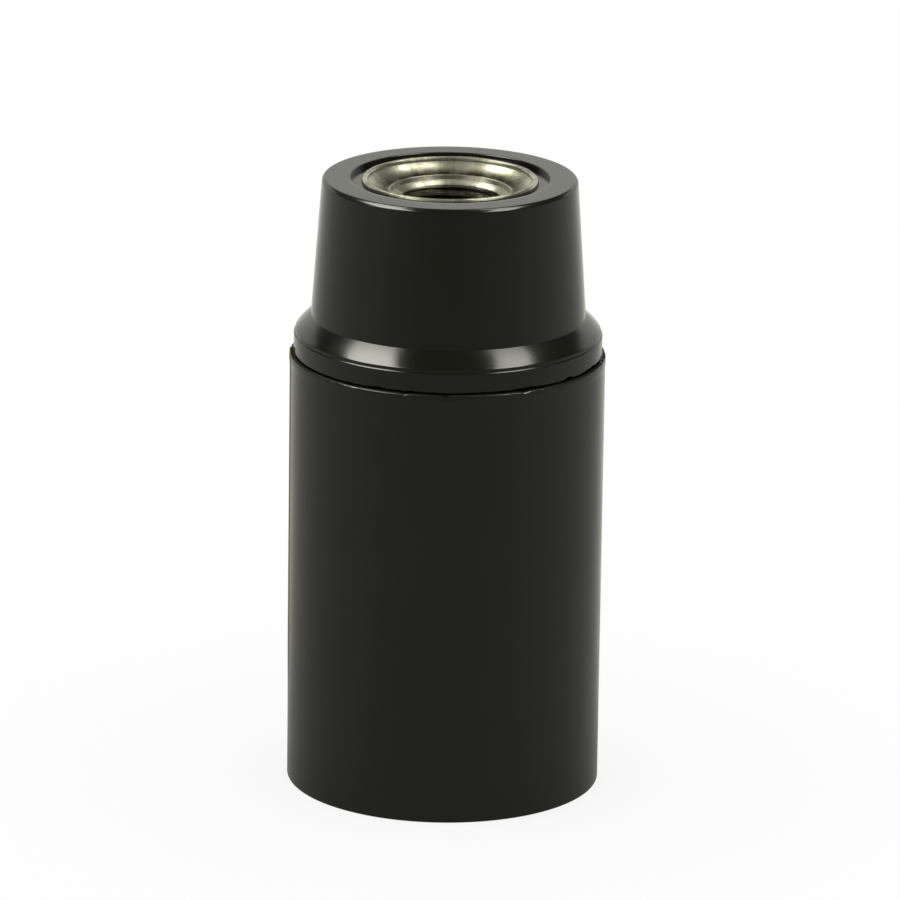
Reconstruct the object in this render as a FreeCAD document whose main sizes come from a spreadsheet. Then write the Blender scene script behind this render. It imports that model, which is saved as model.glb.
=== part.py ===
"""Three-piece E14 lamp holder, standing on its lamp end.

The origin is the centre of the mouth and +Z points up through the cable entry. Every size is a
cell of the sheet "Sizes", in millimetres or degrees. DERIVED names the radii and heights that
follow from those cells, so each piece that meets another is worked out from the same words.

From the mouth up: the skirt's inner tube takes the lamp and carries the contact block; the cap's
spigot clamps the block there; the threaded bush is swaged into the cap. Threads are plain here:
the lamp's Edison thread and the bush's M10 x 1 are bores at the radius of their crests, and the
skirt and spigot stand as far apart as their moulded thread leaves them.
"""

import FreeCAD
import Part
import Sketcher
import math
import os
import re

SIZES = (
    # outside form
    ("skirt_radius", 14.0, "outside of the skirt"),
    ("skirt_height", 39.4, "mouth rim to the skirt's top face"),
    ("skirt_wall", 2.2, "skirt shell round the contact block"),
    ("mouth_wall", 2.1, "skirt shell at the mouth rim"),
    ("rim_edge", 0.25, "broken outer edge of the mouth rim"),
    ("seam_gap", 0.08, "skirt's top face to the cap's land"),
    ("land_step", 0.3, "how far the skirt stands proud of the cap's land"),
    ("land_height", 1.72, "straight band of the cap above the seam"),
    ("shoulder_width", 1.5, "shoulder, from the land in to the neck"),
    ("shoulder_rise", 2.0, "height of the shoulder"),
    ("shoulder_bend", 2.6, "radius of the shoulder's curve"),
    ("neck_draw", 0.88, "how much the neck narrows towards its top"),
    ("neck_height", 12.2, "shoulder to the top face"),
    ("neck_wall", 2.25, "wall of the neck at its top"),
    ("top_edge", 0.3, "broken edge of the top face"),
    # lamp socket
    ("thread_crest", 6.2, "radius of the Edison thread's crests"),
    ("entry_flare", 2.2, "how much the funnel below the thread widens"),
    ("entry_rise", 1.6, "height of the funnel below the thread"),
    ("socket_depth", 15.5, "mouth floor to the contact block's seat"),
    ("contact_room", 6.2, "plain bore between the thread and the seat"),
    ("well_step", 2.0, "thread crest out to the plain bore above it"),
    ("tube_wall", 1.5, "wall of the socket tube at its seat"),
    ("web_thickness", 2.4, "web that joins the socket tube to the shell"),
    # cap spigot and contact block
    ("spigot_length", 6.1, "how far the cap's spigot enters the skirt"),
    ("spigot_gap", 0.3, "skirt bore to spigot"),
    ("spigot_wall", 1.6, "wall of the spigot"),
    ("block_gap", 0.2, "skirt bore to contact block"),
    ("recess_depth", 2.4, "block's rim down to its terminal floor"),
    ("floor_thickness", 3.5, "block between terminals and lamp contacts"),
    ("well_depth", 3.0, "lamp side of the block, floor to seat"),
    ("barrier_thickness", 2.0, "wall between the two terminals"),
    ("barrier_rise", 2.8, "how far that wall stands above the block's rim"),
    ("barrier_gap", 0.3, "ends of that wall to the spigot"),
    ("key_width", 4.0, "keys that stop the block turning in the cap"),
    ("key_rise", 5.2, "height of the keys"),
    ("key_gap", 0.2, "clearance round the keys"),
    ("key_head_gap", 0.4, "clearance above the keys"),
    # lamp contacts
    ("strip_thickness", 0.35, "spring strip of both contacts"),
    ("foot_inset", 0.8, "plain bore to the outer end of a contact foot"),
    ("foot_length", 3.8, "riveted foot of each contact"),
    ("foot_lap", 0.3, "end of a foot that bears on the block"),
    ("relief_depth", 0.7, "hollow in the block that lets a foot flex"),
    ("relief_margin", 0.3, "clearance round a foot in its hollow"),
    ("relief_reach", 1.0, "how far the centre contact's hollow runs past its foot"),
    ("tongue_width", 4.0, "centre contact strip"),
    ("tongue_drop", 2.3, "centre contact below the block's floor"),
    ("tongue_run", 2.7, "sloping part of the centre contact"),
    ("tongue_flat", 1.8, "flat that meets the lamp's tip"),
    ("tongue_tail", 1.5, "upturned end of the centre contact"),
    ("tail_lift", 0.35, "rise of that upturned end"),
    ("leg_width", 3.2, "side contact strip"),
    ("leg_gap", 1.0, "plain bore to the side contact's leg"),
    ("leg_straight", 4.9, "straight part of the leg"),
    ("leg_bulge", 0.4, "how far the leg bends in towards the lamp"),
    ("leg_slope", 1.2, "height of the bend down to its nose"),
    ("leg_tail", 1.4, "height from the nose to the leg's end"),
    # terminals
    ("rivet_inset", 2.1, "outer end of a foot to its rivet"),
    ("rivet_radius", 1.0, "rivet shank"),
    ("rivet_head", 1.4, "radius of the rivet's heads"),
    ("rivet_head_height", 0.5, "height of the rivet's heads"),
    ("rivet_gap", 0.05, "rivet shank in block and plate"),
    ("rivet_play", 0.25, "rivet shank in the foot that flexes on it"),
    ("plate_thickness", 1.2, "terminal plate"),
    ("plate_lap", 0.05, "how far the plate and the screw's head stand past the clamp"),
    ("plate_tail", 1.9, "plate past the rivet's axis"),
    ("plate_corner", 0.8, "corners cut off the plate"),
    ("screw_radius", 1.45, "terminal screw shank"),
    ("screw_gap", 0.05, "screw shank in its plate"),
    ("screw_reach", 4.2, "length of the screw under its head"),
    ("screw_well", 2.5, "hollow in the block below the screw"),
    ("screw_well_gap", 0.35, "clearance round the screw in the block"),
    ("screw_angle", 44.3, "direction of the screw from the cross line, degrees"),
    ("head_height", 1.9, "height of the screw's head"),
    ("slot_width", 0.8, "screwdriver slot"),
    ("slot_depth", 1.0, "depth of the slot"),
    ("clamp_clear", 0.45, "side of the square clamp to the rivet's head"),
    ("clamp_thickness", 0.8, "thickness of the clamp"),
    ("clamp_play", 0.2, "screw shank in its clamp"),
    ("clamp_margin", 0.28, "corner of the clamp to the spigot"),
    # cable entry
    ("entry_bore", 4.46, "core radius of the M10 x 1 thread"),
    ("entry_tube", 6.2, "outside of the threaded bush"),
    ("entry_gap", 0.1, "bush in the cap"),
    ("entry_length", 7.8, "length of the bush"),
    ("entry_chamfer", 0.9, "lead-in above the thread"),
    ("ledge_width", 0.65, "ledge between lead-in and bell"),
    ("ledge_drop", 1.12, "rim down to the ledge"),
    ("bell_lip", 0.38, "width of the bell's rim"),
    ("bell_lip_drop", 0.2, "how far the rim falls to its inner edge"),
    ("bell_bend", 3.4, "radius of the bell's inside curve"),
    ("bell_radius", 7.8, "outside of the bell's rim"),
    ("bell_edge", 0.35, "height of the bell's outer edge"),
    ("bell_clear", 1.02, "bell's rim to the wall of its counterbore"),
    ("counterbore_depth", 0.75, "counterbore in the top face"),
    ("top_wall", 3.45, "cap between counterbore and flange"),
    ("flange_clear", 1.07, "flange of the bush to the neck's inner wall"),
    ("flange_cut", 1.0, "how much the flange's two flats take off it"),
    ("flange_thickness", 1.8, "thickness of the flange"),
    ("flange_sink", 0.8, "how deep the flange sits in the cap"),
)

DERIVED = {
    # radii
    "bore": "skirt_radius - skirt_wall",
    "mouth": "skirt_radius - mouth_wall",
    "well": "thread_crest + well_step",
    "tube": "well + tube_wall",
    "spigot": "bore - spigot_gap",
    "chamber": "spigot - spigot_wall",
    "block": "bore - block_gap",
    "land": "skirt_radius - land_step",
    "neck_foot": "land - shoulder_width",
    "neck_head": "neck_foot - neck_draw",
    "entry_hole": "entry_tube + entry_gap",
    "neck_bore": "neck_head - neck_wall",
    "flange_radius": "neck_bore - flange_clear",
    "flange_flat": "flange_radius - flange_cut",
    "ledge_inside": "entry_bore + entry_chamfer - ledge_width / 2",
    "ledge_outside": "ledge_inside + ledge_width",
    # heights, from the seam down and up
    "seam": "skirt_height + seam_gap",
    "rim": "seam - spigot_length",
    "terminal_floor": "rim - recess_depth",
    "well_floor": "terminal_floor - floor_thickness",
    "seat": "well_floor - well_depth",
    "mouth_floor": "seat - socket_depth",
    "thread_top": "seat - contact_room",
    "plate_top": "terminal_floor + plate_thickness",
    "clamp_top": "plate_top + clamp_thickness",
    "land_top": "seam + land_height",
    "shoulder_top": "land_top + shoulder_rise",
    "top": "shoulder_top + neck_height",
    "counterbore_floor": "top - counterbore_depth",
    "swage_foot": "top - bell_edge - (bell_radius - entry_tube)",
    "swage_rise": "counterbore_floor - swage_foot",
    "flange_top": "counterbore_floor - top_wall",
    "ceiling": "flange_top - flange_sink",
    # places across the axis
    "foot_end": "well - foot_inset",
    "rivet_place": "foot_end - rivet_inset",
    "foot_start": "foot_end - foot_length",
    "clamp_room": "(chamber - clamp_margin) * sin(screw_angle) - rivet_head - clamp_clear",
    "clamp_half": "clamp_room / (1 + sqrt(2) * sin(screw_angle))",
    "plate_edge": "clamp_half + plate_lap",
    "head_radius": "clamp_half + plate_lap",
    "screw_ring": "chamber - clamp_half * sqrt(2) - clamp_margin",
    "screw_across": "screw_ring * cos(screw_angle)",
    "screw_along": "screw_ring * sin(screw_angle)",
    "strip_middle": "well_floor - strip_thickness / 2",
    "tongue_middle": "well_floor - tongue_drop + strip_thickness / 2",
    "leg_middle": "well - leg_gap - strip_thickness / 2",
}

FULL_TURN = 360.0
HALF_TURN = 180.0
START, END, CENTRE = range(1, 4)  # points of a sketch element, as Sketcher numbers them
ORIGIN = -1
LENGTH_MATCH = 1e-4
PARTS_FOLDER = "parts"

doc = FreeCAD.newDocument("LampHolder")
sheet = doc.addObject("Spreadsheet::Sheet", "Sizes")
for row, (alias, number, meaning) in enumerate(SIZES, start=1):
    sheet.set(f"A{row}", meaning)
    sheet.set(f"B{row}", str(number))
    sheet.setAlias(f"B{row}", alias)
doc.recompute()
ALIASES = {alias for alias, number, meaning in SIZES}


# ---- expressions and sketches ------------------------------------------------------------


def expand(text):
    """Turn size words into references to the sheet, working derived words out first."""

    def swap(match):
        word = match.group(0)
        if word in DERIVED:
            return f"({expand(DERIVED[word])})"
        return f"Sizes.{word}" if word in ALIASES else word

    return re.sub(r"[a-z_]+", swap, text)


def value(text):
    """The number that a formula of size words gives now."""
    return float(sheet.evalExpression(expand(text)))


def bind(thing, name, text):
    """Bind a property of an object to a formula of size words."""
    thing.setExpression(name, expand(text))


def new_body(label):
    body = doc.addObject("PartDesign::Body", label)
    body.Label = label
    return body


def new_sketch(body, plane, name, lift=None):
    """A sketch on one of the body's own origin planes, raised along the plane's normal by lift."""
    sketch = body.newObject("Sketcher::SketchObject", name)
    support = next(item for item in body.Origin.OriginFeatures if item.Role == plane)
    sketch.AttachmentSupport = [(support, "")]
    sketch.MapMode = "FlatFace"
    if lift:
        bind(sketch, "AttachmentOffset.Base.z", lift)
    return sketch


def constrain(sketch, kind, places, text):
    """Add a dimension and bind it to a formula of size words."""
    number = sketch.addConstraint(Sketcher.Constraint(kind, *places, value(text)))
    bind(sketch, f"Constraints[{number}]", text)


def pin(sketch, element, end, across, along):
    """Hold one point of a sketch at a place given by two formulas."""
    constrain(sketch, "DistanceX", (ORIGIN, START, element, end), across)
    constrain(sketch, "DistanceY", (ORIGIN, START, element, end), along)


def arc_between(start, end, radius):
    """The short arc from start to end, to the left of the chord for a positive radius."""
    chord = end - start
    size = abs(radius)
    away = math.sqrt(size**2 - (chord.Length / 2) ** 2)
    side = FreeCAD.Vector(-chord.y, chord.x, 0).normalize()
    centre = (start + end) * 0.5 + side * math.copysign(away, radius)
    first, last = (start, end) if radius > 0 else (end, start)
    angles = [math.atan2((point - centre).y, (point - centre).x) for point in (first, last)]
    circle = Part.Circle(centre, FreeCAD.Vector(0, 0, 1), size)
    return Part.ArcOfCircle(circle, angles[0], angles[1])


def outline(sketch, corners):
    """Draw a closed outline. A corner is (across, along), or has the radius of an arc to the next."""
    points = [FreeCAD.Vector(value(corner[0]), value(corner[1]), 0) for corner in corners]
    ends = []
    for index, corner in enumerate(corners):
        start, end = points[index], points[(index + 1) % len(points)]
        if len(corner) == 2:
            ends.append((sketch.addGeometry(Part.LineSegment(start, end)), START, END))
            continue
        radius = value(corner[2])
        element = sketch.addGeometry(arc_between(start, end, radius))
        ends.append((element, START, END) if radius > 0 else (element, END, START))
    for index, (element, start, end) in enumerate(ends):
        follower = ends[(index + 1) % len(ends)]
        joint = (element, end, follower[0], follower[1])
        sketch.addConstraint(Sketcher.Constraint("Coincident", *joint))
    for (element, start, end), corner in zip(ends, corners):
        pin(sketch, element, start, corner[0], corner[1])
        if len(corner) == 3:
            constrain(sketch, "Radius", (element,), corner[2].lstrip("-"))


def path(sketch, points):
    """Draw an open path of straight runs."""
    places = [FreeCAD.Vector(value(across), value(along), 0) for across, along in points]
    for index, (start, end) in enumerate(zip(places, places[1:])):
        sketch.addGeometry(Part.LineSegment(start, end))
        pin(sketch, index, START, *points[index])
        if index:
            sketch.addConstraint(Sketcher.Constraint("Coincident", index - 1, END, index, START))
    pin(sketch, len(points) - 2, END, *points[-1])


def rectangle(sketch, low, high):
    """Add an upright rectangle between two corners, each a pair of formulas."""
    first = sketch.GeometryCount
    corners = [(low[0], low[1]), (high[0], low[1]), (high[0], high[1]), (low[0], high[1])]
    points = [FreeCAD.Vector(value(across), value(along), 0) for across, along in corners]
    for index in range(4):
        sketch.addGeometry(Part.LineSegment(points[index], points[(index + 1) % 4]))
    for index in range(4):
        joint = (first + index, END, first + (index + 1) % 4, START)
        sketch.addConstraint(Sketcher.Constraint("Coincident", *joint))
        pin(sketch, first + index, START, *corners[index])


def circle(sketch, across, along, radius):
    """Add a circle at a place given by two formulas."""
    middle = FreeCAD.Vector(value(across), value(along), 0)
    upright = FreeCAD.Vector(0, 0, 1)
    element = sketch.addGeometry(Part.Circle(middle, upright, value(radius)))
    constrain(sketch, "Radius", (element,), radius)
    pin(sketch, element, CENTRE, across, along)


# ---- features ----------------------------------------------------------------------------


def revolve(body, name, corners):
    """Turn a closed outline in the XZ plane about the vertical axis."""
    sketch = new_sketch(body, "XZ_Plane", name + "Outline")
    outline(sketch, corners)
    feature = body.newObject("PartDesign::Revolution", name)
    feature.Profile = sketch
    feature.ReferenceAxis = (sketch, ["V_Axis"])
    feature.Angle = FULL_TURN
    sketch.Visibility = False
    doc.recompute()
    return feature


def pad(body, name, sketch, length):
    feature = body.newObject("PartDesign::Pad", name)
    feature.Profile = sketch
    bind(feature, "Length", length)
    doc.recompute()
    return feature


def pocket(body, name, sketch, depth, upwards=False):
    """Cut a sketch into the body, down from it or upwards, and see that it removes material."""
    before = body.Shape.Volume
    feature = body.newObject("PartDesign::Pocket", name)
    feature.Profile = sketch
    bind(feature, "Length", depth)
    feature.Reversed = upwards
    doc.recompute()
    if not body.Shape.Volume < before - LENGTH_MATCH:
        raise RuntimeError(f"{name} cuts nothing")
    return feature


def ring_edges(feature, rings):
    """Names of the feature's circular edges about the axis, each ring given as (radius, height)."""
    wanted = [(value(radius), value(height)) for radius, height in rings]
    names = []
    for number, edge in enumerate(feature.Shape.Edges, start=1):
        if not isinstance(edge.Curve, Part.Circle):
            continue
        found = (edge.Curve.Radius, edge.Curve.Center.z)
        if any(math.dist(found, ring) < LENGTH_MATCH for ring in wanted):
            names.append(f"Edge{number}")
    if len(names) < len(rings):
        raise RuntimeError(f"{feature.Name} has {len(names)} of {len(rings)} edges to round")
    return names


def upright_edges(feature, places):
    """Names of the feature's vertical edges at the given places, each a pair of formulas."""
    wanted = [(value(across), value(along)) for across, along in places]
    names = []
    for number, edge in enumerate(feature.Shape.Edges, start=1):
        first, last = edge.Vertexes[0].Point, edge.Vertexes[-1].Point
        if abs(first.z - last.z) < LENGTH_MATCH or math.dist(first[:2], last[:2]) > LENGTH_MATCH:
            continue
        if any(math.dist(first[:2], place) < LENGTH_MATCH for place in wanted):
            names.append(f"Edge{number}")
    return names


def chamfer(body, name, base, edges, size):
    """Break edges at 45 degrees."""
    feature = body.newObject("PartDesign::Chamfer", name)
    feature.Base = (base, edges)
    bind(feature, "Size", size)
    doc.recompute()
    return feature


def place(body, across, along):
    """Stand a body's own axis at a place given by two formulas."""
    bind(body, "Placement.Base.x", across)
    bind(body, "Placement.Base.y", along)


# ---- mouldings ---------------------------------------------------------------------------


def build_skirt():
    """Shell with a socket tube inside it: funnel, thread stretch, plain bore and the block's seat."""
    body = new_body("skirt")
    shell = revolve(body, "Shell", (
        ("mouth", "0"),
        ("skirt_radius", "0"),
        ("skirt_radius", "skirt_height"),
        ("bore", "skirt_height"),
        ("bore", "mouth_floor + web_thickness"),
        ("tube", "mouth_floor + web_thickness"),
        ("tube", "seat"),
        ("well", "seat"),
        ("well", "thread_top"),
        ("thread_crest", "thread_top"),
        ("thread_crest", "mouth_floor + entry_rise"),
        ("thread_crest + entry_flare", "mouth_floor"),
        ("mouth", "mouth_floor"),
    ))
    chamfer(body, "BrokenRim", shell, ring_edges(shell, (("skirt_radius", "0"),)), "rim_edge")
    return body


def build_cap():
    """Neck, shoulder, land and spigot in one moulding, with the bush's seats and two keyways."""
    body = new_body("cap")
    shell = revolve(body, "Shell", (
        ("spigot", "rim"),
        ("spigot", "seam"),
        ("land", "seam"),
        ("land", "land_top", "shoulder_bend"),
        ("neck_foot", "shoulder_top"),
        ("neck_head", "top"),
        ("bell_radius + bell_clear", "top"),
        ("bell_radius + bell_clear", "counterbore_floor"),
        ("entry_hole + swage_rise", "counterbore_floor"),
        ("entry_hole", "swage_foot"),
        ("entry_hole", "ceiling"),
        ("neck_bore", "ceiling"),
        ("neck_bore", "shoulder_top"),
        ("chamber", "shoulder_top"),
        ("chamber", "rim"),
    ))
    chamfer(body, "BrokenTop", shell, ring_edges(shell, (("neck_head", "top"),)), "top_edge")
    seat = new_sketch(body, "XY_Plane", "FlangeSeatOutline", "ceiling")
    flatted_disc(seat, "flange_radius + entry_gap", "flange_flat + entry_gap")
    pocket(body, "FlangeSeat", seat, "flange_sink", upwards=True)
    keyways = new_sketch(body, "XY_Plane", "KeywayOutline", "rim")
    half = "(key_width / 2 + key_gap)"
    rectangle(keyways, (f"-{half}", "chamber - spigot_wall"), (half, "skirt_radius"))
    rectangle(keyways, (f"-{half}", "-skirt_radius"), (half, "-chamber + spigot_wall"))
    pocket(body, "Keyways", keyways, "key_rise + key_head_gap", upwards=True)
    return body


def flatted_disc(sketch, radius, flat):
    """A disc with two flats across the Y direction."""
    half = f"sqrt(({radius}) ^ 2 - ({flat}) ^ 2)"
    outline(sketch, (
        (f"-{half}", f"-({flat})"),
        (half, f"-({flat})", radius),
        (half, flat),
        (f"-{half}", flat, radius),
    ))


def build_block():
    """Contact block: terminal floor above, lamp well below, barrier, keys and hollows."""
    body = new_body("insert_body")
    revolve(body, "Disc", (
        ("well", "seat"),
        ("block", "seat"),
        ("block", "rim"),
        ("chamber", "rim"),
        ("chamber", "terminal_floor"),
        ("0", "terminal_floor"),
        ("0", "well_floor"),
        ("well", "well_floor"),
    ))
    barrier = new_sketch(body, "XY_Plane", "BarrierOutline", "terminal_floor")
    half = ("barrier_thickness / 2", "chamber - barrier_gap")
    rectangle(barrier, (f"-{half[0]}", f"-({half[1]})"), half)
    pad(body, "Barrier", barrier, "recess_depth + barrier_rise")
    keys = new_sketch(body, "XY_Plane", "KeyOutline", "rim")
    for side in ("", "-"):
        key_outline(keys, side)
    pad(body, "Keys", keys, "key_rise")
    hollows = new_sketch(body, "XY_Plane", "HollowOutline", "well_floor")
    half = "(tongue_width / 2 + relief_margin)"
    rectangle(hollows, ("-(foot_end - foot_lap)", f"-{half}"), ("-(foot_start - relief_reach)", half))
    half = "(leg_width / 2 + relief_margin)"
    rectangle(hollows, ("foot_start + foot_lap", f"-{half}"), ("foot_end + relief_margin", half))
    pocket(body, "FootHollows", hollows, "relief_depth", upwards=True)
    holes = new_sketch(body, "XY_Plane", "RivetHoleOutline", "terminal_floor")
    wells = new_sketch(body, "XY_Plane", "ScrewWellOutline", "terminal_floor")
    for side in ("", "-"):
        circle(holes, f"{side}rivet_place", "0", "rivet_radius + rivet_gap")
        circle(wells, f"{side}screw_across", f"{side}screw_along", "screw_radius + screw_well_gap")
    pocket(body, "RivetHoles", holes, "floor_thickness")
    pocket(body, "ScrewWells", wells, "screw_well")
    return body


def key_outline(sketch, side):
    """One key: straight sides and inner face, rounded to the spigot outside."""
    half, inner, outer = "key_width / 2", "chamber + key_gap", "spigot - key_gap"
    edge = f"sqrt(({outer}) ^ 2 - ({half}) ^ 2)"
    other = "-" if side == "" else ""
    first = sketch.GeometryCount
    corners = (
        (f"{other}{half}", f"{side}({inner})"),
        (f"{side}{half}", f"{side}({inner})"),
        (f"{side}{half}", f"{side}{edge}"),
        (f"{other}{half}", f"{side}{edge}"),
    )
    points = [FreeCAD.Vector(value(across), value(along), 0) for across, along in corners]
    for index in (0, 1, 3):
        sketch.addGeometry(Part.LineSegment(points[index], points[(index + 1) % 4]))
    arc = sketch.addGeometry(arc_between(points[2], points[3], value(outer)))
    joints = ((first, END, first + 1, START), (first + 1, END, arc, START),
              (arc, END, first + 2, START), (first + 2, END, first, START))
    for joint in joints:
        sketch.addConstraint(Sketcher.Constraint("Coincident", *joint))
    for element, corner in ((first, 0), (first + 1, 1), (arc, 2), (first + 2, 3)):
        pin(sketch, element, START, *corners[corner])
    constrain(sketch, "Radius", (arc,), outer)


# ---- metal pieces ------------------------------------------------------------------------


def build_bush():
    """Threaded bush: a flange with two flats inside the cap, the other end swaged to a bell."""
    body = new_body("entry_bush")
    flange = new_sketch(body, "XY_Plane", "FlangeOutline", "flange_top - flange_thickness")
    flatted_disc(flange, "flange_radius", "flange_flat")
    pad(body, "Flange", flange, "flange_thickness")
    bore = new_sketch(body, "XY_Plane", "FlangeBoreOutline", "flange_top")
    circle(bore, "0", "0", "(entry_bore + entry_tube) / 2")
    pocket(body, "FlangeBore", bore, "flange_thickness")
    revolve(body, "Tube", (
        ("entry_bore", "top - entry_length"),
        ("entry_tube", "top - entry_length"),
        ("entry_tube", "swage_foot"),
        ("bell_radius", "top - bell_edge"),
        ("bell_radius", "top"),
        ("bell_radius - bell_lip", "top - bell_lip_drop", "bell_bend"),
        ("ledge_outside", "top - ledge_drop"),
        ("ledge_inside", "top - ledge_drop"),
        ("entry_bore", "top - ledge_drop - entry_chamfer"),
    ))
    return body


def bent_strip(body, points, width):
    """Sweep a strip of spring metal along a path of straight runs with sharp bends."""
    route = new_sketch(body, "XZ_Plane", "StripRoute")
    path(route, points)
    section = new_sketch(body, "YZ_Plane", "StripSection", points[0][0])
    across = f"{width} / 2"
    middle = points[0][1]
    half = "strip_thickness / 2"
    rectangle(section, (f"-{across}", f"{middle} - {half}"), (across, f"{middle} + {half}"))
    strip = body.newObject("PartDesign::AdditivePipe", "Strip")
    strip.Profile = section
    strip.Spine = route
    strip.Transition = "Right corner"
    route.Visibility = section.Visibility = False
    doc.recompute()


def rivet_hole(body, across):
    """Pierce a contact foot for its rivet, with the play that lets the foot flex."""
    sketch = new_sketch(body, "XY_Plane", "RivetHoleOutline", "well_floor")
    circle(sketch, across, "0", "rivet_radius + rivet_play")
    pocket(body, "RivetHole", sketch, "strip_thickness")


def build_centre_contact():
    """Tongue from its riveted foot down and across the axis, its end turned up."""
    body = new_body("centre_contact")
    flat_end = "-foot_start + tongue_run + tongue_flat"
    bent_strip(body, (
        ("-foot_end", "strip_middle"),
        ("-foot_start", "strip_middle"),
        ("-foot_start + tongue_run", "tongue_middle"),
        (flat_end, "tongue_middle"),
        (f"{flat_end} + tongue_tail", "tongue_middle + tail_lift"),
    ), "tongue_width")
    rivet_hole(body, "-rivet_place")
    return body


def build_side_contact():
    """Leg that hangs beside the lamp's shell, with a nose that bends in to meet it."""
    body = new_body("side_contact")
    knee = "well_floor - leg_straight"
    bent_strip(body, (
        ("foot_start", "strip_middle"),
        ("leg_middle", "strip_middle"),
        ("leg_middle", knee),
        ("leg_middle - leg_bulge", f"{knee} - leg_slope"),
        ("leg_middle", f"{knee} - leg_slope - leg_tail"),
    ), "leg_width")
    rivet_hole(body, "rivet_place")
    return body


def build_terminal(label, turn):
    """Terminal plate with a tapped hole for its screw and a hole for its rivet."""
    body = new_body(label)
    outside = "-(screw_across + plate_edge)"
    inside = "-(screw_across - plate_edge)"
    end = "-(screw_along + plate_edge)"
    sketch = new_sketch(body, "XY_Plane", "PlateOutline", "terminal_floor")
    rectangle(sketch, (outside, end), (inside, "plate_tail"))
    circle(sketch, "-rivet_place", "0", "rivet_radius + rivet_gap")
    circle(sketch, "-screw_across", "-screw_along", "screw_radius + screw_gap")
    plate = pad(body, "Plate", sketch, "plate_thickness")
    corners = ((outside, end), (inside, end), (inside, "plate_tail"), (outside, "plate_tail"))
    chamfer(body, "CutCorners", plate, upright_edges(plate, corners), "plate_corner")
    body.Placement.Rotation = FreeCAD.Rotation(FreeCAD.Vector(0, 0, 1), turn)
    return body


def build_rivet(label, across):
    """Rivet through contact foot, block and terminal plate, headed at both ends."""
    body = new_body(label)
    low, high = "well_floor - strip_thickness", "plate_top"
    revolve(body, "Rivet", (
        ("0", f"{low} - rivet_head_height"),
        ("rivet_head", f"{low} - rivet_head_height"),
        ("rivet_head", low),
        ("rivet_radius", low),
        ("rivet_radius", high),
        ("rivet_head", high),
        ("rivet_head", f"{high} + rivet_head_height"),
        ("0", f"{high} + rivet_head_height"),
    ))
    place(body, across, "0")
    return body


def build_screw(label, side):
    """Cheese-head terminal screw with a screwdriver slot."""
    body = new_body(label)
    revolve(body, "Screw", (
        ("0", "clamp_top - screw_reach"),
        ("screw_radius", "clamp_top - screw_reach"),
        ("screw_radius", "clamp_top"),
        ("head_radius", "clamp_top"),
        ("head_radius", "clamp_top + head_height"),
        ("0", "clamp_top + head_height"),
    ))
    slot = new_sketch(body, "XY_Plane", "SlotOutline", "clamp_top + head_height")
    rectangle(slot, ("-slot_width / 2", "-2 * head_radius"), ("slot_width / 2", "2 * head_radius"))
    pocket(body, "Slot", slot, "slot_depth")
    place(body, f"{side}screw_across", f"{side}screw_along")
    return body


def build_clamp(label, side):
    """Square clamp, captive between the screw's head and the plate."""
    body = new_body(label)
    sketch = new_sketch(body, "XY_Plane", "ClampOutline", "plate_top")
    rectangle(sketch, ("-clamp_half", "-clamp_half"), ("clamp_half", "clamp_half"))
    circle(sketch, "0", "0", "screw_radius + clamp_play")
    pad(body, "Clamp", sketch, "clamp_thickness")
    place(body, f"{side}screw_across", f"{side}screw_along")
    return body


# ---- check and write ---------------------------------------------------------------------


def check(bodies):
    """Stop if any object of the document failed or any sub-part isn't one valid solid."""
    for thing in doc.Objects:
        if "Invalid" in thing.State or "Error" in thing.State:
            raise RuntimeError(f"{thing.Label} failed: {thing.State}")
    for body in bodies:
        shape = body.Shape
        if shape.isNull() or not shape.isValid() or len(shape.Solids) != 1:
            raise RuntimeError(f"{body.Label} is not one valid solid")


def write(bodies):
    """Write each sub-part's solid to a STEP file named after it."""
    os.makedirs(PARTS_FOLDER, exist_ok=True)
    for body in bodies:
        body.Shape.exportStep(os.path.join(PARTS_FOLDER, body.Label + ".step"))
        print(f"{body.Label}: {body.Shape.Volume:.1f} mm3")


def main():
    bodies = [build_skirt(), build_cap(), build_bush(), build_block()]
    bodies += [build_centre_contact(), build_side_contact()]
    for name, side, turn in (("live", "-", 0.0), ("neutral", "", HALF_TURN)):
        bodies.append(build_terminal(f"{name}_terminal", turn))
        bodies.append(build_rivet(f"{name}_rivet", f"{side}rivet_place"))
        bodies.append(build_screw(f"{name}_screw", side))
        bodies.append(build_clamp(f"{name}_clamp", side))
    doc.recompute()
    check(bodies)
    write(bodies)


main()
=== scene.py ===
"""Three-piece E14 lamp holder, dressed over its construction model.

The two black mouldings and the threaded entry bush are rebuilt here as fine numpy surfaces with
their threads, ragged seam and rounded edges. The pieces inside them keep their construction
solids and get their finishes. Shapes are worked out in millimetres and laid in metres.
"""
import logging
import math
from dataclasses import dataclass, replace
from enum import Enum
from typing import Any

import bpy
import numpy as np
from mathutils import Matrix, Vector


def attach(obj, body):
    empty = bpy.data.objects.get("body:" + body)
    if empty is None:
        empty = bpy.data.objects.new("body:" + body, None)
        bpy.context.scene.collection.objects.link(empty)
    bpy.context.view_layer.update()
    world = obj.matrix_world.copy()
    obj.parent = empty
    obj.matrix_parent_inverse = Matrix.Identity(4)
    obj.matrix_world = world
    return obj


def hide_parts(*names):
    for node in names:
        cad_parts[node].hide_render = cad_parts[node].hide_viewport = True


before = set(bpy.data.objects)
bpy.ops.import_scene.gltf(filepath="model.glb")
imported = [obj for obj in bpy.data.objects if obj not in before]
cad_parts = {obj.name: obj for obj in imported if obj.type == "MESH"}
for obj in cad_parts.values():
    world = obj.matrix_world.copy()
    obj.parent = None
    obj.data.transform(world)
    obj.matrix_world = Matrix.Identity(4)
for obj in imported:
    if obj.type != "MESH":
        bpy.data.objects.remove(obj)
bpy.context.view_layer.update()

MM = 0.001
TURN = 2.0 * math.pi
MERGE_MM = 1e-4
TINY = 1e-6
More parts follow.
